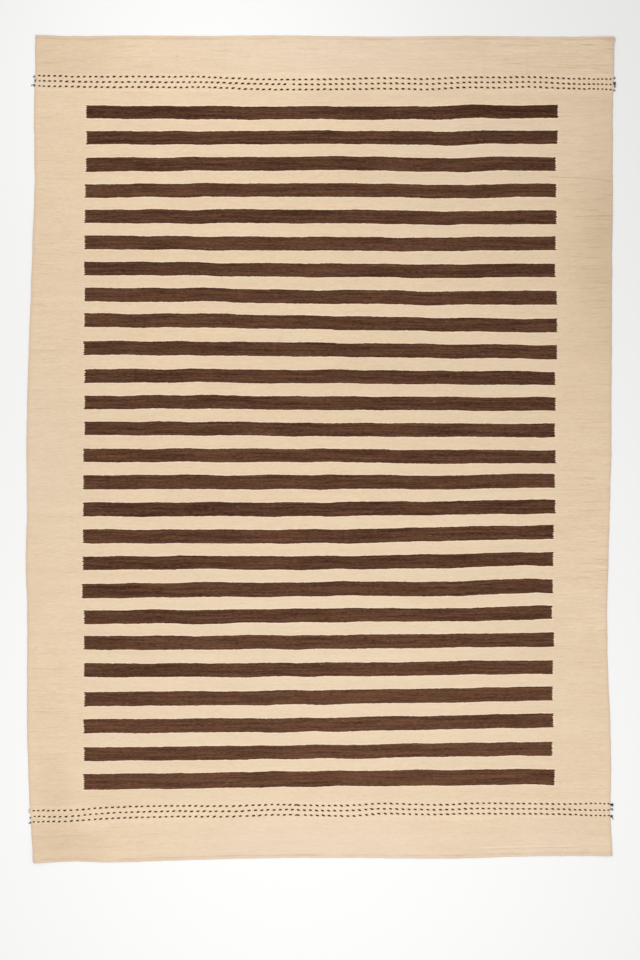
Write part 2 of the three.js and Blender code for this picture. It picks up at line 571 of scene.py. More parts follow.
# A row of dashes as a weaver's line, and the line's number from the top end down.
def dashLine(end, row):
    columns = dashRows["columns"]
    places = columnOf(dashRows[end], columns, "across")
    heights = columnOf(dashRows[end], columns, columns[row + 1])
    first = 1 if end == "top" else linesAtEnd + 2 * len(bars["rows"])
    return (places, heights, dashRows["share"]), first + row


# Every line that the weaver kept, from the top end down, as its points across the rug, their heights and its
# share of the soft waves: the end, three rows of dashes, both edges of each bar, three more rows and the
# other end.
def weaverLines():
    endColumns = outline["endColumns"]
    lines = []
    for end in ("top", "bottom"):
        left, right = corners[end + "Left"], corners[end + "Right"]
        across = [left[0], *columnOf(outline["ends"], endColumns, "across"), right[0]]
        heights = [left[1], *columnOf(outline["ends"], endColumns, end), right[1]]
        lines.append((np.array(across) + middleShift, np.array(heights), 0.0))
        lines += [dashLine(end, row)[0] for row in range(3)]
    top, bottomEnd, bottomRows = lines[:linesAtEnd], lines[linesAtEnd], lines[linesAtEnd + 1:]
    edges = []
    for row in bars["rows"]:
        left, middle, right, width = np.array(row[:4], dtype=float) * mm
        for side in (1, -1):
            heights = np.array([left, middle, right]) + side * width / 2
            edges.append((np.array(bars["readAt"]) * mm, heights, 1.0))
    return top + edges + bottomRows + [bottomEnd]


# A line's height at places across the rug: smooth through its points, plus its share of the waves and a
# little unevenness of its own.
def lineHeight(line, number, across):
    places, heights, share = line
    level = smoothThrough(places, heights, across)
    own = sum(np.sin(across / length + step * number) for length, step in softWaves["ownWaves"])
    return level + share * (waveAt(across, level) + softWaves["own"] * own)


# A grid's quads, corner by corner, for anything that is laid out as [tube, ring, side].
def cornersOf(grid):
    quads = np.stack([grid[:, :-1, :-1], grid[:, :-1, 1:], grid[:, 1:, 1:], grid[:, 1:, :-1]], axis=3)
    return quads.reshape((-1, 4) + grid.shape[3:])


# One mesh from blocks of tubes. A block has points [tube, ring, side, xyz] and closes around its sides,
# attributes for each tube or point, and maps that are one side wider. Rings without any width become poles.
def meshOf(name, blocks):
    points, faces = [], []
    attributes, maps = {}, {}
    first = 0
    for block in blocks:
        shape = block["points"].shape[:3]
        index = first + np.arange(np.prod(shape)).reshape(shape)
        faces.append(cornersOf(np.concatenate([index, index[:, :, :1]], axis=2)))
        points.append(block["points"].reshape(-1, 3))
        for attributeName, values in block["attributes"].items():
            attributes.setdefault(attributeName, []).append(np.broadcast_to(values, shape).reshape(-1))
        for mapName, values in block["maps"].items():
            maps.setdefault(mapName, []).append(cornersOf(values))
        first += index.size
    points = np.concatenate(points)
    faces = np.concatenate(faces)

    mesh = bpy.data.meshes.new(name)
    mesh.vertices.add(len(points))
    mesh.vertices.foreach_set("co", points.ravel())
    mesh.loops.add(faces.size)
    mesh.loops.foreach_set("vertex_index", faces.ravel())
    mesh.polygons.add(len(faces))
    mesh.polygons.foreach_set("loop_start", np.arange(len(faces)) * 4)
    mesh.polygons.foreach_set("use_smooth", np.ones(len(faces), dtype=bool))
    for mapName, values in maps.items():
        layer = mesh.uv_layers.new(name=mapName)
        layer.uv.foreach_set("vector", np.concatenate(values).ravel())
    for attributeName, values in attributes.items():
        attribute = mesh.attributes.new(attributeName, "FLOAT", "POINT")
        attribute.data.foreach_set("value", np.concatenate(values))
    mesh.update(calc_edges=True)

    work = bmesh.new()
    work.from_mesh(mesh)
    bmesh.ops.remove_doubles(work, verts=work.verts, dist=1e-6)
    bmesh.ops.recalc_face_normals(work, faces=work.faces)
    work.to_mesh(mesh)
    work.free()
    return mesh


# A finished piece: its mesh, material and body, and the solid of the frame that it stands for.
def addPiece(name, blocks, material, node=None):
    piece = bpy.data.objects.new(name, meshOf(name, blocks))
    bpy.context.scene.collection.objects.link(piece)
    piece.data.materials.append(material)
    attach(piece, "root")
    if node:
        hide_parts(node)
    return piece


# Where the cloth's rows run: for each the line above it, its share of the way to the next line, how far it
# is drawn in from a rounded end, the share of the thickness that it has there, and its stretch in the bake
# map.
def clothRows(nominal):
    hem = np.array(cloth["hemRows"]) * mm
    inner = hem[-1] + cloth["clear"]
    radius = cloth["thickness"] / 2
    angle = np.radians(cloth["endTurn"])
    rows = [np.stack([0 * angle, 0 * angle, radius * (1 - np.cos(angle)), np.sin(angle), 1 - np.sin(angle)])]
    for number in range(len(nominal) - 1):
        span = nominal[number] - nominal[number + 1]
        if linesAtEnd <= number < len(nominal) - linesAtEnd - 1:
            shares = np.array(cloth["barRows"])
        else:
            count = math.ceil(span / cloth["fieldStep"])
            shares = np.arange(count) / count
        if number == 0:
            shares = np.concatenate([hem / span, shares[shares > inner / span]])
        if number == len(nominal) - 2:
            shares = np.concatenate([shares[shares < 1 - inner / span], 1 - hem[::-1] / span])
        ones = np.ones(len(shares))
        rows.append(np.stack([number * ones, shares, 0 * ones, ones, 0 * ones]))
    last = rows[0][:, ::-1].copy()
    last[0] = len(nominal) - 1
    last[2:] *= [[-1], [1], [-1]]
    rows.append(last)
    return np.concatenate(rows, axis=1)


# Where the cloth's columns run, as shares of its width: close together at the selvedges and at the two
# upright creases, even in between.
def clothColumns(width):
    edge = np.array(cloth["edgeColumns"]) * mm
    count = math.ceil((width - 2 * edge[-1]) / cloth["columnStep"])
    even = np.linspace(edge[-1], width - edge[-1], count + 1)
    near = np.array(folds["creaseColumns"]) * mm
    creases = [middle * mm - corners["topLeft"][0] for middle in folds["creases"]]
    clear = near[-1] + cloth["clear"]
    even = even[np.all([np.abs(even - crease) > clear for crease in creases], axis=0)]
    columns = np.concatenate([edge[:-1], even, *[crease + near for crease in creases], width - edge[:-1]])
    return np.sort(columns) / width


# How far a place lies inside the nearest bar's edge. It is below zero outside the bars.
def insideBars(nominal, heights):
    edges = nominal[linesAtEnd:-linesAtEnd]
    distance = np.abs(heights[:, None] - edges[None, :]).min(axis=1)
    inside = np.any((heights[:, None] <= edges[None, ::2]) & (heights[:, None] >= edges[None, 1::2]), axis=1)
    return np.where(inside, distance, -distance)


# The cloth is one closed shell, a section carried down the rug: the face from left to right, the right
# selvedge as half a circle, the back from right to left, and the left selvedge. At both ends the section's
# thickness falls as the sine of an angle while the row is drawn in by one minus its cosine.
def makeCloth(material):
    draw = np.random.default_rng(cloth["seed"])
    lines = weaverLines()
    nominal = np.array([lineHeight(line, number, np.zeros(1))[0] for number, line in enumerate(lines)])
    number, share, inset, thick, stretch = clothRows(nominal)
    number = number.astype(int)
    following = np.minimum(number + 1, len(lines) - 1)
    rowHeight = nominal[number] * (1 - share) + nominal[following] * share - inset

    width = corners["topRight"][0] - corners["topLeft"][0]
    columns = clothColumns(width)
    rimRadius = cloth["thickness"] / 2
    left, right = selvedgeAt(-1, rowHeight) + rimRadius, selvedgeAt(1, rowHeight) - rimRadius
    across = left[:, None] + (right - left)[:, None] * columns
    fromLeft, fromRight = across - left[:, None], right[:, None] - across
    fromSelvedge = np.minimum(fromLeft, fromRight)
    lineLeft, lineRight = selvedgeAt(-1, nominal), selvedgeAt(1, nominal)
    lineAcross = lineLeft[:, None] + (lineRight - lineLeft)[:, None] * columns
    lineAlong = np.stack([lineHeight(line, i, lineAcross[i]) for i, line in enumerate(lines)])
    lineAlong[[0, -1]] += cloth["endTeeth"] * draw.normal(size=(2, len(columns)))
    along = lineAlong[number] * (1 - share[:, None]) + lineAlong[following] * share[:, None] - inset[:, None]

    roughShare, slowShare = cloth["nickShares"]
    for side, distance in ((-1, fromLeft), (1, fromRight)):
        rough = draw.normal(size=len(number))
        several = cloth["nickRows"]
        slow = np.convolve(draw.normal(size=len(number)), np.ones(several) / several, mode="same")
        nick = cloth["nicks"] * (roughShare * rough + slowShare * slow) * thick
        across = across + side * nick[:, None] * np.exp(-distance / cloth["nickReach"])

    edges = nominal[linesAtEnd:-linesAtEnd]
    starts = columnOf(bars["rows"], bars["columns"], "starts").repeat(2)
    stops = columnOf(bars["rows"], bars["columns"], "stops").repeat(2)
    shades = (columnOf(bars["rows"], bars["columns"], "shade") / mm).repeat(2)
    rowStart, rowStop, rowShade = [
        np.interp(rowHeight, edges[::-1], values[::-1]) for values in (starts, stops, shades)
    ]
    insideEnds = np.minimum(across - rowStart[:, None], rowStop[:, None] - across)
    insideEdges = insideBars(nominal, rowHeight)[:, None] + 0 * across

    nearEnd = np.minimum(lineAlong[0] - along, along - lineAlong[-1])
    bar = ease(insideEnds, *cloth["barEndSlope"]) * ease(insideEdges, 0.0, cloth["barSideSlope"])
    cord = np.exp(-((fromSelvedge / cloth["cordMiddle"] - 1) ** 2))
    hem = 1 - ease(nearEnd, cloth["hemWidth"] - cloth["hemSlope"], cloth["hemWidth"])
    groove = np.exp(-(((nearEnd - cloth["hemWidth"]) / cloth["grooveReach"]) ** 2))
    relief = cloth["barRelief"] * bar + cloth["selvedgeRelief"] * cord
    relief += cloth["hemRelief"] * hem * (1 - cord) - cloth["hemGroove"] * groove
    relief *= thick[:, None]
    radius = rimRadius * thick[:, None]
    middle = cloth["underside"] + rimRadius + liftAt(across, along)
    face = np.stack([across, along, middle + radius + relief], axis=-1)
    underneath = middle - radius - cloth["backRelief"] * relief
    back = np.stack([across, along, underneath], axis=-1)[:, ::-1]

    turn = np.radians(cloth["rimTurn"])
    rims = {}
    for side, column in ((1, -1), (-1, 0)):
        angles = turn if side > 0 else turn[::-1]
        rim = np.empty((len(number), len(turn), 3))
        rim[..., 0] = across[:, column, None] + side * radius * np.sin(angles)
        rim[..., 1] = along[:, column, None]
        rim[..., 2] = middle[:, column, None] + radius * np.cos(angles)
        rims[side] = rim
    points = np.concatenate([face, rims[1], back, rims[-1]], axis=1)

    # The face's values carried around both rims and over the back, which mirrors the face.
    def around(values):
        face = np.broadcast_to(values, across.shape)
        right, left = [face[:, [column] * len(turn)] for column in (-1, 0)]
        return np.concatenate([face, right, face[:, ::-1], left, face[:, :1]], axis=1)

    girth = math.pi * rimRadius
    face = columns * width
    rim = girth * turn / math.pi
    loop = [face, width + rim, width + girth + width - face[::-1], 2 * width + girth + rim,
            [2 * width + 2 * girth]]
    weaveAcross = np.broadcast_to(np.concatenate(loop), (len(number), points.shape[1] + 1))
    weaveAlong = around(rowHeight[:, None])

    margin = cloth["rimMargin"]
    out = margin * np.array([0.5, 1.0, 0.5])
    bakeLoop = [face, width + out, face[::-1], -out, face[:1]]
    bakeAcross = np.broadcast_to(np.concatenate(bakeLoop), weaveAcross.shape)
    bakeAlong = around((rowHeight + margin * stretch)[:, None])
    length = nominal[0] - nominal[-1]
    maps = {
        "Weave": np.stack([weaveAcross, weaveAlong], axis=-1),
        "Bars": np.stack([around(insideEnds), around(insideEdges)], axis=-1),
        "Edges": np.stack([around(fromSelvedge), around(nearEnd)], axis=-1),
        "OFBake": np.stack([
            (bakeAcross + margin) / (width + 2 * margin),
            (bakeAlong - nominal[-1] + margin) / (length + 2 * margin),
        ], axis=-1),
    }
    # The shading table's bells go to the wool as attributes, part of them painted shade.
    attributes = {
        "yarnTone": rowShade[:, None] + bellsAt(shading, "brown", across, along),
        "shade": bellsAt(shading, "shade", across, along),
        "streaks": bellsAt(shading, "streaks", across, along),
    }
    block = {
        "points": points[None],
        "attributes": {attribute: around(values)[None, :, :-1] for attribute, values in attributes.items()},
        "maps": {mapName: values[None] for mapName, values in maps.items()},
    }
    return addPiece("kilim", [block], material, "kilim_cloth")


# The cloth's wool. Cream and brown yarns are each a dark and a light colour mixed by streaks along the weft,
# and the bars' mask is how far a place lies inside a bar, made uneven by the turns of the yarn.
clothWool = {
    "creamShade": (0.61, 0.45, 0.29, 1.0),
    "creamLight": (0.89, 0.71, 0.51, 1.0),
    # Towards this colour the edges darken: partly painted shade of the rounded selvedges and ends and a
    # painted shadow along the hem's groove, partly a pinker tone of the wool.
    "creamEdgeAndShade": (0.60, 0.44, 0.34, 1.0),
    # Towards this colour the cream darkens where the shading's shade is above zero: painted shade along the
    # upper right selvedge, on the curled corner, on the pucker near the bottom left corner and along the
    # creases, and elsewhere a darker tone of the cloth.
    "creamPaintedShadeAndTone": (0.40, 0.27, 0.155, 1.0),
    "creamPale": (0.80, 0.66, 0.55, 1.0),
    "brownDark": (0.040, 0.014, 0.006, 1.0),
    "brownLight": (0.180, 0.080, 0.042, 1.0),
    "olive": (0.10, 0.075, 0.025, 1.0),
    "mauve": (0.115, 0.048, 0.045, 1.0),
    "hair": (0.50, 0.36, 0.24, 1.0),
    "speck": (0.16, 0.10, 0.06, 1.0),
    "warpStep": 0.0045,  # metres from warp to warp
    "pickStep": 0.0014,  # and from one pick of the weft to the next
    "loopStep": 0.0096,  # the turns of the yarn at the ends of the bars
    "bump": 0.8,
    "sheen": 0.05,
    # Each noise's grains a metre along the weft and up the rug, its seed, its detail and its roughness.
    "noises": {
        "patches": (2.2, 11, 0.7, 1),
        "longStreaks": (6, 110, 1.3, 1),
        "thinStreaks": (13, 190, 2.2, 1),
        "shortStreaks": (55, 220, 2.7),
        "grains": (190, 420, 4.1, 3),
        "blotches": (4, 7, 6.2),
        "lots": (0.5, 26, 8.0, 1),
        "fineLines": (8, 150, 33.4, 0),
        "byRows": (95, 190, 35.2, 1),
        "hemLine": (9, 2, 37.7, 1),
        "specks": (120, 260, 11.5, 0),
        "speckyPlaces": (3, 4, 12.5, 0),
        "brownStreaks": (60, 300, 3.9, 3, 0.65),
        "brownLines": (5, 150, 5.5, 2),
        "olive": (7, 130, 13.1),
        "mauve": (9, 120, 15.7),
        "hairs": (70, 260, 17.3, 1),
        "wander": (30, 20, 19.9),
        "smallWander": (95, 30, 20.6),
        "loopPhase": (3, 60, 21.1),
        "fray": (140, 300, 23.4),
        "turns": (3, 75, 24.6),
        "slubs": (55, 380, 27.2),
        "lumps": (40, 50, 29.8),
        "roughness": (25, 160, 31.6),
    },
    "pickNoise": (24, 39.1, 1),  # the tone from pick to pick: grains a metre along the weft, seed and detail
}

# Single picks of the weft that stand out, in millimetres: how far in from the left selvedge and how far up
# the rug the middle of each lies, how steeply it rises, its half length, its width, and how dark it is, or
# below zero how pale.
markedPicks = [
    (2322, 1158, -0.07, 160, 1.3, 0.7),
    (2382, 999, 0.0, 90, 1.3, 0.5),
    (2368, 818, 0.0, 75, 1.4, 0.5),
    (86, 1157, 0.0, 80, 1.3, 0.4),
    (136, -290, 0.0, 75, 1.3, 0.4),
    (2069, 1724, 0.0, 95, 1.5, 0.7),
    (2110, -1703, 0.01, 260, 1.8, -0.4),
    (2150, -1711, 0.01, 240, 1.4, 0.45),
]


def makeClothWool():
    wool = Shader("kilim wool")
    u, v = wool.uv("Weave")
    insideEnds, insideEdges = wool.uv("Bars")
    fromSelvedge, fromEnd = wool.uv("Edges")
    tone = wool.attribute("yarnTone")
    shade = wool.attribute("shade")
    streaky = wool.attribute("streaks")

    noise = wool.noises(u, v, clothWool["noises"])
    patch = wool.ease(noise["patches"], -0.1, 0.14)
    darkLines = wool.ease(noise["thinStreaks"], 0.08, 0.2)
    paleLines = wool.ease(noise["thinStreaks"], -0.1, -0.22)
    fineLines = wool.ease(noise["fineLines"], 0.17, 0.27)

    ribs = wool.sine(u * (2 * math.pi / clothWool["warpStep"]))
    picksAcross = wool.sine(u * (math.pi / clothWool["warpStep"]))
    picks = picksAcross * wool.sine(v * (math.pi / clothWool["pickStep"]))
    pickGrains, pickSeed, pickDetail = clothWool["pickNoise"]
    pickTone = wool.noise(u, v, pickGrains, 1 / clothWool["pickStep"], pickSeed, pickDetail)

    creamFactor = 0.57 + noise["longStreaks"] * (0.2 + streaky * 0.5)
    creamFactor = creamFactor + noise["shortStreaks"] * 0.5 + noise["grains"] * 0.3
    creamFactor = creamFactor + pickTone * 0.7 + picks * 0.12
    creamFactor = creamFactor - darkLines * (0.06 + patch * streaky * 0.4) + paleLines * streaky * 0.15
    creamFactor = creamFactor + noise["blotches"] * 0.25 + noise["lots"] * 0.2
    creamFactor = creamFactor - fineLines * (0.07 + streaky * 0.42)
    for row in markedPicks:
        fromLeft, along, slope, reach, width, darkness = np.array(row) * (mm, mm, 1, mm, mm, 1)
        aside = u - fromLeft
        over = v - along
        if slope:
            over = over - aside * slope
        mark = wool.ease(abs(over), 1.4 * width, 0.4 * width) * wool.ease(abs(aside), reach, 0.6 * reach)
        creamFactor = creamFactor - mark * darkness
    # Across the band of the twined rows the cream is made paler: painted light that offsets the floats'
    # shadows, with a mottle over it.
    byRows = wool.ease(fromEnd, 0.155, 0.17) * wool.ease(fromEnd, 0.245, 0.23)
    creamFactor = creamFactor + byRows * (noise["byRows"] * 0.7 + 0.12)
    halo = wool.ease(insideEdges, -0.007, -0.002) * wool.ease(insideEnds, -0.01, 0.0)
    cream = wool.mix(creamFactor + halo * 0.25, clothWool["creamShade"], clothWool["creamLight"])
    # The shading's shade: above zero the cream darkens, in part painted shade; below zero it grows paler.
    cream = wool.mix(shade, cream, clothWool["creamPaintedShadeAndTone"])
    cream = wool.mix(0.0 - shade, cream, clothWool["creamPale"])
    # The hem line is a painted shadow along the groove inside each turned end, and the darker edges are
    # partly painted shade of the rounded selvedges and ends, partly a pinker tone of the wool.
    hemLine = wool.ease(fromEnd, 0.0075, 0.0105) * wool.ease(fromEnd, 0.018, 0.0125)
    hemLine = hemLine * (noise["hemLine"] * 1.6 + 0.32)
    edge = wool.ease(fromSelvedge, 0.016, 0.0) * 0.35 + wool.ease(fromEnd, 0.004, 0.0) * 0.3
    edge = edge + wool.ease(fromEnd, 0.02, 0.01) * 0.12 + hemLine
    cream = wool.mix(edge, cream, clothWool["creamEdgeAndShade"])
    speck = wool.ease(noise["specks"], 0.35, 0.38) * wool.ease(noise["speckyPlaces"], 0.1, 0.2)
    cream = wool.mix(speck * 0.5, cream, clothWool["speck"])

    # The shading's shade darkens the brown as well, in part painted shade, and the yarn tone carries the
    # table's brown bells, which along the creases are painted shade.
    brownFactor = 0.12 + tone * 0.5 - shade * 0.5 + noise["brownStreaks"] * 1.8
    brownFactor = brownFactor + noise["brownLines"] * 1.5 + pickTone * 1.2 + picks * 0.25
    brown = wool.mix(brownFactor, clothWool["brownDark"], clothWool["brownLight"])
    olive = wool.ease(noise["olive"], 0.06, 0.22)
    mauve = wool.ease(noise["mauve"], 0.06, 0.22)
    brown = wool.mix(olive * 0.4, brown, clothWool["olive"])
    brown = wool.mix(mauve * 0.3, brown, clothWool["mauve"])
    hair = wool.ease(noise["hairs"], 0.25, 0.32)
    brown = wool.mix(hair * 0.45, brown, clothWool["hair"])

    wander = noise["wander"] * 0.0045 + noise["smallWander"] * 0.0025
    loops = abs(wool.sine(v * (math.pi / clothWool["loopStep"]) + noise["loopPhase"] * 3.0))
    smallLoops = abs(wool.sine(v * (math.pi / (2 * clothWool["pickStep"]))))
    loops = loops * 0.0052 - 0.0033 + smallLoops * 0.0006
    fray = noise["fray"] * 0.004
    turns = noise["turns"] * 0.009 + wool.ease(insideEdges, 0.009, 0.002) * 0.0015
    bar = wool.ease(insideEdges + wander + fray * 0.4, -0.0004, 0.0004)
    bar = bar * wool.ease(insideEnds + loops + turns + fray, -0.0005, 0.0005)
    colour = wool.mix(bar, cream, brown)

    height = ribs * 0.0001 + picks * 0.00016 + pickTone * 0.0004
    height = height + noise["slubs"] * 0.0003 + noise["lumps"] * 0.0005
    roughness = noise["roughness"] * 0.16 + 0.9
    return wool.finish(colour, roughness, wool.bump(height, clothWool["bump"]), clothWool["sheen"])


# Loose or floating yarn: a dark and a light colour mixed by the ridges of its strands, which wind around it
# as a sine of both directions, and by noise over its place. Lay and relief are in metres.
yarnWool = {
    "brown": {"dark": (0.040, 0.016, 0.002, 1.0), "light": (0.165, 0.072, 0.008, 1.0),
              "strands": 7, "lay": 0.045, "relief": 0.00035},
    "cream": {"dark": (0.80, 0.63, 0.43, 1.0), "light": (1.0, 0.87, 0.65, 1.0),
              "strands": 7, "lay": 0.045, "relief": 0.00035},
    "worn brown": {"dark": (0.042, 0.023, 0.017, 1.0), "light": (0.35, 0.27, 0.22, 1.0),
                   "strands": 3, "lay": 0.006, "relief": 0.00015},
    "noises": {"fuzz": (9, 900, 3.3, 3), "fibres": (45, 160, 5.8, 2)},
    "bump": 0.9,
    "sheen": 0.02,
}


def makeYarnWool(name):
    yarn = yarnWool[name]
    wool = Shader(name + " yarn")
    around, along = wool.uv("Yarn")
    tone = wool.attribute("yarnTone")
    noise = wool.noises(around, along, yarnWool["noises"])
    fuzz, fibres = noise["fuzz"], noise["fibres"]
    turns = around * (2 * math.pi * yarn["strands"]) + along * (2 * math.pi / yarn["lay"]) + fibres * 1.5
    ridge = wool.sine(turns)
    factor = 0.15 + tone * 0.6 + ridge * 0.2 + fuzz * 0.5 + fibres * 0.6
    colour = wool.mix(factor, yarn["dark"], yarn["light"])
    height = ridge * yarn["relief"] + fuzz * 0.0002 + fibres * 0.0003
    roughness = fuzz * 0.15 + 0.9
    return wool.finish(colour, roughness, wool.bump(height, yarnWool["bump"]), yarnWool["sheen"])


# The two maps of every tube: the share around it and the metres along it, and a cell of its own in a square
# grid of cells for the bake.
def tubeMaps(along, sides, firstCell, cells):
    tubes, rings = along.shape
    share = np.arange(sides + 1) / sides
    yarn = np.empty((tubes, rings, sides + 1, 2))
    yarn[..., 0] = share
    yarn[..., 1] = along[..., None]
    across = math.ceil(math.sqrt(cells))
    number = (firstCell + np.arange(tubes))[:, None, None]
    border = twining["border"]
    bake = np.empty_like(yarn)
    bake[..., 0] = (number % across + border + (1 - 2 * border) * share) / across
    step = (np.arange(rings) / (rings - 1))[None, :, None]
    bake[..., 1] = (number // across + border + (1 - 2 * border) * step) / across
    return {"Yarn": yarn, "OFBake": bake}


# The stitches of the twined rows, in millimetres. Each row is two strands twisted about each other, a brown
# and a cream one, so that brown floats and cream floats take turns on the face, and on the back as well.
twining = {
    "pitchColumns": ("across", "top", "bottom"),
    "pitch": [
        (-1240, 17.0, 18.0),
        (-1200, 18.4, 20.3),
        (-1160, 23.5, 22.8),
        (-1120, 24.5, 23.6),
        (-1070, 26.5, 27.0),
        (-980, 24.3, 24.4),
        (-900, 26.8, 25.6),
        (-820, 26.4, 25.2),
        (-670, 25.8, 25.3),
        (-520, 23.6, 25.8),
        (-450, 24.8, 26.8),
        (-370, 26.6, 28.6),
        (-220, 25.4, 26.2),
        (-60, 26.4, 25.6),
        (90, 25.2, 26.4),
        (250, 26.4, 26.6),
        (400, 25.6, 26.4),
        (560, 26.4, 27.0),
        (710, 24.8, 24.4),
        (860, 25.5, 24.8),
        (1010, 24.3, 24.8),
        (1070, 22.4, 23.2),
        (1140, 20.6, 21.8),
        (1190, 18.0, 18.4),
        (1240, 17.0, 17.5),
    ],
    "firstAcross": {"top": -1202.5, "bottom": -1226.5},
    "lastFromSelvedge": 6.0,
    # Where the twist of each row turns over, and how many stitches the row lags behind the chart at its
    # start, just before that place and after it. Two rows have one more float there.
    "turnsOver": {"top": (-34, -146, 26), "bottom": (-103, -110, -103)},
    "lags": {
        "top": [(0.0, 0.0, 0.0), (0.06, 0.56, 1.0), (0.0, 0.0, 0.0)],
        "bottom": [(0.0, 0.0, 0.47), (0.2, 0.38, 0.38), (0.05, 0.05, 0.5)],
    },
    "doubled": {"top": (), "bottom": (0, 2)},
    "doubleStep": 6.0,
    "tone": {"top": 0.5, "bottom": 0.72},
    "leanLeft": math.radians(17),
    "leanRight": math.radians(-20),
    "halfLength": 7.9,
    "halfWidth": {"top": 3.95, "bottom": 3.6},
    "halfHeight": 1.35,
    "arch": 1.0,
    "sink": 0.5,
    "swing": 0.35,  # how far a float's middle line swings sideways
    "flatBehind": 0.18,  # a float's height on the back is this much of the face's
    "usualPitch": 25.6,  # at which a float has the half length above
    "leastGap": 15.0,  # brown floats that lie closer have no cream one between them
    # How far the floats wander from their places, in millimetres, radians, and shares of size and tone.
    "wander": {"across": 0.5, "along": 0.45, "lean": math.radians(6), "size": (0.86, 1.1), "tone": 0.35},
    "border": 0.06,  # left free around each tube's cell in the bake map
    "rings": 9,
    "sides": 6,
    "seed": 21,
}


# Where a row's brown floats lie across the rug. The count of stitches is the running sum of one over the
# pitch, less the row's lag, and a float lies at every whole count. Up to where the twist turns over the lag
# grows as a quarter of a sine.
def stitchPlaces(end, row, along):
    columns = twining["pitchColumns"]
    stop = selvedgeAt(1, along) - twining["lastFromSelvedge"] * mm
    across = np.arange(twining["firstAcross"][end] * mm, stop, mm)
    pitch = np.interp(across, columnOf(twining["pitch"], columns, "across"),
                      columnOf(twining["pitch"], columns, end))
    turn = twining["turnsOver"][end][row] * mm
    first, before, after = twining["lags"][end][row]
    share = (across - across[0]) / (turn - across[0])
    growing = first + (before - first) * np.sin(math.pi / 2 * np.minimum(share, 1.0))
    count = np.cumsum(mm / pitch) - mm / pitch[0] - np.where(share < 1, growing, after)
    count = np.maximum.accumulate(count)
    places = np.interp(np.arange(0, math.floor(count[-1]) + 1), count, across)
    if row in twining["doubled"][end]:
        places = np.sort(np.append(places, turn + twining["doubleStep"] * mm))
    return places


# The floats' tubes: along each, a runs from -1 to 1. The half width and height follow
# (1 - |a|^2.4)^0.55, the middle line rises by arch times 1 - a^2 and swings a little sideways as a sine.
def floatTubes(end, across, along, lean, size, surface, face, tones, firstCell, cells):
    a = np.linspace(-1, 1, twining["rings"])[None, :, None]
    angle = 2 * math.pi * np.arange(twining["sides"])[None, None, :] / twining["sides"]
    across, along, lean, size, surface = [
        values[:, None, None] for values in (across, along, lean, size, surface)
    ]
    flat = 1.0 if face > 0 else twining["flatBehind"]
    profile = (1 - np.abs(a) ** 2.4) ** 0.55
    lengthwise = twining["halfLength"] * mm * size * a
    sideways = twining["halfWidth"][end] * mm * size**0.4 * profile * np.cos(angle)
    sideways = sideways - twining["swing"] * mm * np.sin(math.pi * a) * np.sign(lean)
    rise = flat * (twining["arch"] * (1 - a**2) - twining["sink"]) * mm
    height = flat * twining["halfHeight"] * mm * profile * np.sin(angle)
    points = np.empty(np.broadcast(lengthwise, sideways).shape + (3,))
    points[..., 0] = across + np.cos(lean) * lengthwise - np.sin(lean) * sideways
    points[..., 1] = along + np.sin(lean) * lengthwise + np.cos(lean) * sideways
    points[..., 2] = surface + face * rise + height
    metres = np.broadcast_to(lengthwise[:, :, 0] + 7 * across[:, :, 0], points.shape[:2])
    maps = tubeMaps(metres, twining["sides"], firstCell, cells)
    return {"points": points, "attributes": {"yarnTone": tones[:, None, None]}, "maps": maps}


# Both yarns' floats at one end of the rug, on the face and, half a stitch on and pressed flat, on the back.
def makeTwining(end, brownYarn, creamYarn, draw):
    pitchAcross = columnOf(twining["pitch"], twining["pitchColumns"], "across")
    pitchHere = columnOf(twining["pitch"], twining["pitchColumns"], end)
    wander = twining["wander"]
    found = {"brown": [], "cream": []}
    for row in range(3):
        line, lineNumber = dashLine(end, row)
        brown = stitchPlaces(end, row, line[1].mean())
        cream = ((brown[1:] + brown[:-1]) / 2)[np.diff(brown) > twining["leastGap"] * mm]
        for colour, across in (("brown", brown), ("cream", cream)):
            across = across + draw.normal(0, wander["across"], len(across)) * mm
            along = lineHeight(line, lineNumber, across)
            along = along + draw.normal(0, wander["along"], len(across)) * mm
            flips = twining["turnsOver"][end][row] * mm
            lean = np.where(across < flips, twining["leanLeft"], twining["leanRight"])
            lean = lean + draw.normal(0, wander["lean"], len(across))
            size = np.interp(across, pitchAcross, pitchHere) / (twining["usualPitch"] * mm)
            size = size * draw.uniform(*wander["size"], len(across))
            tones = twining["tone"][end] + draw.uniform(-wander["tone"], wander["tone"], len(across))
            found[colour].append((across, along, lean, size, tones))
    for colour, other, yarn in (("brown", "cream", brownYarn), ("cream", "brown", creamYarn)):
        across, along, lean, size, tones = np.concatenate(found[colour], axis=1)
        backAcross, backAlong, backLean, backSize, backTones = np.concatenate(found[other], axis=1)
        cells = len(across) + len(backAcross)
        blocks = [
            floatTubes(end, across, along, lean, size, faceAt(across, along), 1, tones, 0, cells),
            floatTubes(end, backAcross, backAlong, -backLean, backSize, backAt(backAcross, backAlong), -1,
                       backTones, len(across), cells),
        ]
        name = f"{colour}_dashes_{end}_end" if colour == "brown" else f"{colour}_twining_{end}_end"
        addPiece(name, blocks, yarn)


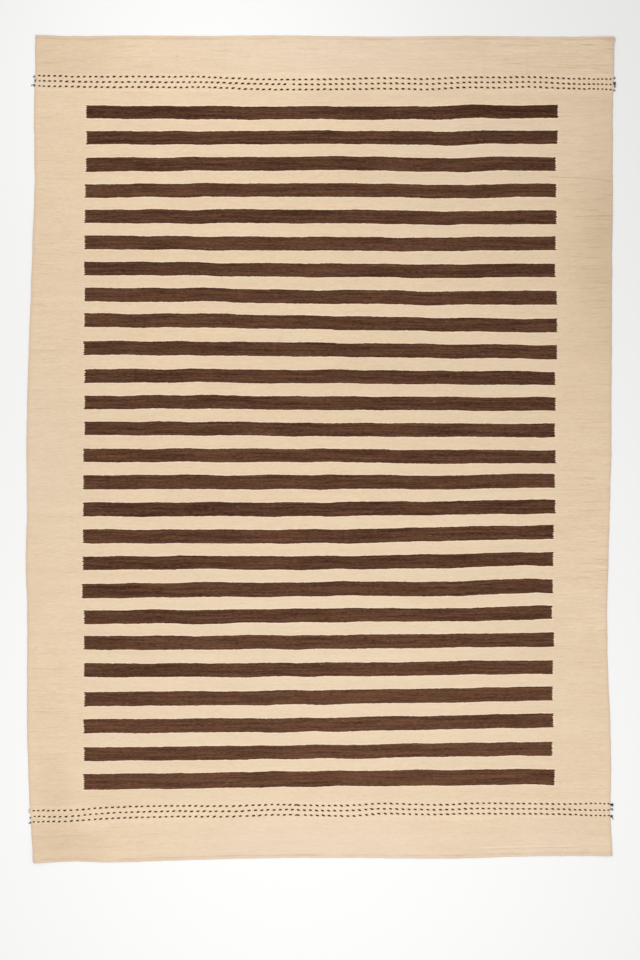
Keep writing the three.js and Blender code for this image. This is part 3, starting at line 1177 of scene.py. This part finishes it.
# The loose ends of the brown yarn, in millimetres out from the cloth and up the rug, as the frame has them:
# the knot's half sizes, how far it lies further in and up, where its tail bends and stops, counted from the
# knot's middle, and how much yarn shows on the face before the selvedge.
yarnEnds = {
    "columns": ("name", "side", "along", "knot", "shift", "bend", "tip", "lead", "form", "fading"),
    "rows": [
        ("top_left_1", -1, 1591, (4.5, 4.5), (3, 0), (2, -2), (4, -4), 0, "knot", 1.3),
        ("top_left_2", -1, 1573, (4.5, 7), (7.5, 0), (2, -3), (3, -6), 0, "knot", 0.8),
        ("top_left_3", -1, 1552, (5, 6), (4, 1), (8, 2), (14, 1), 0, "knot", 0.5),
        ("top_right_1", 1, 1583, (3.5, 4.5), (0, 0), (1, 3), (3, 6), 0, "knot", 0.4),
        ("top_right_2", 1, 1564, (6.5, 9), (2, -3), (1, -9), (0, -17), 0, "clump", 0.25),
        ("top_right_3", 1, 1531, (4, 4), (1, 1), (3, 0), (6, -1), 0, "knot", 1.5),
        ("bottom_left_1", -1, -1538, (3, 4), (2.5, 0), (6, -8), (1, -17), 0, "loop", 1.5),
        ("bottom_left_2", -1, -1574, (3.8, 4), (4, 0), (2, -2), (4, -4), 0, "knot", 0.3),
        ("bottom_left_3", -1, -1595, (3.8, 4), (3, 0), (4, -2), (8, -5), 0, "knot", 0.3),
        ("bottom_right_1", 1, -1519, (7, 7.5), (1, 0), (2, -3), (3, -7), 9, "knot", 0.0),
        ("bottom_right_2", 1, -1538, (3.5, 5), (-3, 0), (2, -3), (3, -6), 0, "knot", 0.4),
        ("bottom_right_3", 1, -1566, (6, 6.5), (1, -2), (4, -7), (7, -15), 9, "knot", 0.1),
    ],
    "strandRadius": 0.95,
    "strandShift": 0.85,  # how far each strand lies from the middle line, over its radius
    "thinLoop": 0.6,  # a loop's yarn is this much of the others' in radius
    "taper": 0.02,  # the share of the length over which a strand thins out at either end
    "lay": 7.0,  # one turn of the two strands about each other
    "rings": 150,
    "sides": 7,
    "fibres": 14,
    "fibreRadius": 0.13,
    "fibreRings": 6,
    "seed": 33,
}


# Two directions square to a path at each of its points.
def crossDirections(path):
    direction = np.gradient(path, axis=-2)
    direction /= np.linalg.norm(direction, axis=-1, keepdims=True)
    across = np.cross(direction, [0.29, 0.17, 0.94])
    across /= np.linalg.norm(across, axis=-1, keepdims=True)
    return across, np.cross(across, direction)


# Round tubes along paths [tube, ring, xyz]: the path plus the radius times the cosine of the angle in one
# cross direction and its sine in the other.
def tubesAlong(paths, radius, sides):
    across, up = crossDirections(paths)
    angle = 2 * math.pi * np.arange(sides) / sides
    ring = np.cos(angle)[:, None] * across[:, :, None] + np.sin(angle)[:, None] * up[:, :, None]
    return paths[:, :, None] + radius[..., None, None] * ring


# How far along each path its points lie, in metres.
def metresAlong(paths):
    steps = np.linalg.norm(np.diff(paths, axis=1), axis=-1)
    return np.concatenate([np.zeros((len(paths), 1)), np.cumsum(steps, axis=1)], axis=1)


# A loose end's middle line: up out of the cloth, with a lead that starts on its dash row's line where some
# of it shows, over the selvedge, once around a knot that is a trefoil, (sin t + 2 sin 2t, cos t - 2 cos 2t)
# over 3, squeezed to the knot's half sizes and lifted where it lies over the cloth, and out along the tail.
# The points before and after the knot are given one by one.
def looseEndPath(row, middle, selvedge):
    side = row["side"]
    radius = 2 * yarnEnds["strandRadius"] * mm
    top = cloth["underside"] + cloth["thickness"] + liftAt(np.array(selvedge), np.array(middle[1]))
    lead = row["lead"] * mm
    end, number = row["name"].split("_")[0], int(row["name"][-1]) - 1
    start = middle[1]
    if lead:
        start = lineHeight(*dashLine(end, number), np.array([selvedge - side * lead]))[0]
    points = [
        (selvedge - side * (lead + 5 * mm), start, top - 1.3 * mm),
        (selvedge - side * (lead + 1.5 * mm), start, top - 0.6 * mm),
    ]
    if lead:
        points.append((selvedge - side * 0.7 * lead, start, top + 0.6 * mm))
        points.append((selvedge - side * 0.3 * lead, (start + middle[1]) / 2, top + 1.0 * mm))
    points.append((selvedge + side * 1.0 * mm, middle[1], top))
    out, up = np.array(row["knot"]) * mm - radius * 0.8
    if row["form"] != "loop":
        t = np.linspace(5 * math.pi / 3, 5 * math.pi / 3 + 1.85 * math.pi, 20)
        x = middle[0] + side * out * (np.sin(t) + 2 * np.sin(2 * t)) / 3
        y = middle[1] + up * (np.cos(t) - 2 * np.cos(2 * t)) / 3
        over = ease(side * (selvedge - x), -3 * mm, 2 * mm)
        z = 3.1 * mm + (top - 2.6 * mm) * over - 1.1 * mm * np.sin(3 * t)
        points += list(zip(x, y, z))
    rest = radius + 0.1 * mm
    for name in ("bend", "tip"):
        points.append((middle[0] + side * row[name][0] * mm, middle[1] + row[name][1] * mm, rest))
    if row["form"] == "clump":
        points.append((middle[0] + side * 2.5 * mm, middle[1] - 15 * mm, 2.2 * rest))
        points.append((middle[0] + side * 2.2 * mm, middle[1] - 7 * mm, 2.0 * rest))
    points = np.array(points)
    knots = np.arange(len(points), dtype=float)
    at = np.linspace(0, knots[-1], yarnEnds["rings"])
    return np.stack([smoothThrough(knots, points[:, axis], at) for axis in range(3)], axis=-1)


def makeLooseEnd(row, yarn, draw):
    node = "yarn_end_" + row["name"]
    low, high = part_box(node)
    side = row["side"]
    inner = high[0] if side < 0 else low[0]
    inwards, upwards = row["shift"]
    middle = np.array([inner + side * (row["knot"][0] - inwards) * mm, (row["along"] + upwards) * mm])
    path = looseEndPath(row, middle, inner - side * 0.5 * mm)
    across, up = crossDirections(path)
    travelled = metresAlong(path[None])[0]
    radius = yarnEnds["strandRadius"] * mm
    thin = yarnEnds["thinLoop"] if row["form"] == "loop" else 1.0
    share = travelled / travelled[-1]
    taper = np.sqrt(np.clip(np.minimum(share, 1 - share) / yarnEnds["taper"], 0.0, 1.0))
    turn = 2 * math.pi * travelled / (yarnEnds["lay"] * mm)
    strands = []
    for start in (0.0, math.pi):
        aside = np.cos(turn + start)[:, None] * across + np.sin(turn + start)[:, None] * up
        strands.append(path + thin * radius * yarnEnds["strandShift"] * aside)
    strands = np.stack(strands)
    cells = 2 + yarnEnds["fibres"]
    points = tubesAlong(strands, thin * radius * np.stack([taper, taper]), yarnEnds["sides"])
    tones = row["fading"] + np.array([-0.1, 0.1])[:, None, None]
    block = {"points": points, "attributes": {"yarnTone": tones},
             "maps": tubeMaps(metresAlong(strands), yarnEnds["sides"], 0, cells)}

    count = yarnEnds["fibres"]
    root = draw.integers(60, yarnEnds["rings"], count)
    root[: count // 2] = yarnEnds["rings"] - 4
    heading = draw.uniform(-1.4, 1.4, count) + (0 if side > 0 else math.pi)
    length = draw.uniform(2.5, 6.5, count) * mm
    step = np.linspace(0, 1, yarnEnds["fibreRings"])[None, :]
    curl = heading[:, None] + draw.uniform(-1.2, 1.2, count)[:, None] * step
    fibres = np.empty((count, yarnEnds["fibreRings"], 3))
    fibres[..., 0] = path[root, 0][:, None] + length[:, None] * step * np.cos(curl)
    fibres[..., 1] = path[root, 1][:, None] + length[:, None] * step * np.sin(curl)
    rise = draw.uniform(-1.5, 1.2, count)[:, None] * mm * step
    fibres[..., 2] = np.maximum(path[root, 2][:, None] + rise, 0.2 * mm)
    fibreRadius = yarnEnds["fibreRadius"] * mm * np.sqrt(np.clip(np.minimum(step, 1 - step) / 0.2, 0, 1))
    fibreRadius = np.broadcast_to(fibreRadius, fibres.shape[:2])
    wisps = {"points": tubesAlong(fibres, fibreRadius, 3), "attributes": {"yarnTone": 0.8},
             "maps": tubeMaps(metresAlong(fibres), 3, 2, cells)}
    return addPiece("loose_" + row["name"], [block, wisps], yarn, node)


def makeFloor():
    floorShader = Shader("pale floor")
    inputs = {"Base Color": light["floorColour"], "Roughness": 0.95, "Specular IOR Level": 0.0}
    surface = floorShader.add("ShaderNodeBsdfPrincipled", None, inputs)
    floorShader.add("ShaderNodeOutputMaterial", None, {"Surface": surface})
    half = light["floorSize"] / 2
    mesh = bpy.data.meshes.new("floor")
    places = [(-half, -half, 0), (half, -half, 0), (half, half, 0), (-half, half, 0)]
    mesh.from_pydata(places, [], [(0, 1, 2, 3)])
    floor = bpy.data.objects.new("floor", mesh)
    floor.data.materials.append(floorShader.material)
    bpy.context.scene.collection.objects.link(floor)


print("camera and lights")
makeCamera()
makeLights()
makeFloor()

print("wool")
kilimWool = makeClothWool()
brownYarn = makeYarnWool("brown")
creamYarn = makeYarnWool("cream")
wornYarn = makeYarnWool("worn brown")

print("cloth")
kilim = makeCloth(kilimWool)

print("twined rows")
twiningDraw = np.random.default_rng(twining["seed"])
for end in ("top", "bottom"):
    makeTwining(end, brownYarn, creamYarn, twiningDraw)

print("loose yarn ends")
looseDraw = np.random.default_rng(yarnEnds["seed"])
for row in yarnEnds["rows"]:
    makeLooseEnd(dict(zip(yarnEnds["columns"], row)), wornYarn, looseDraw)
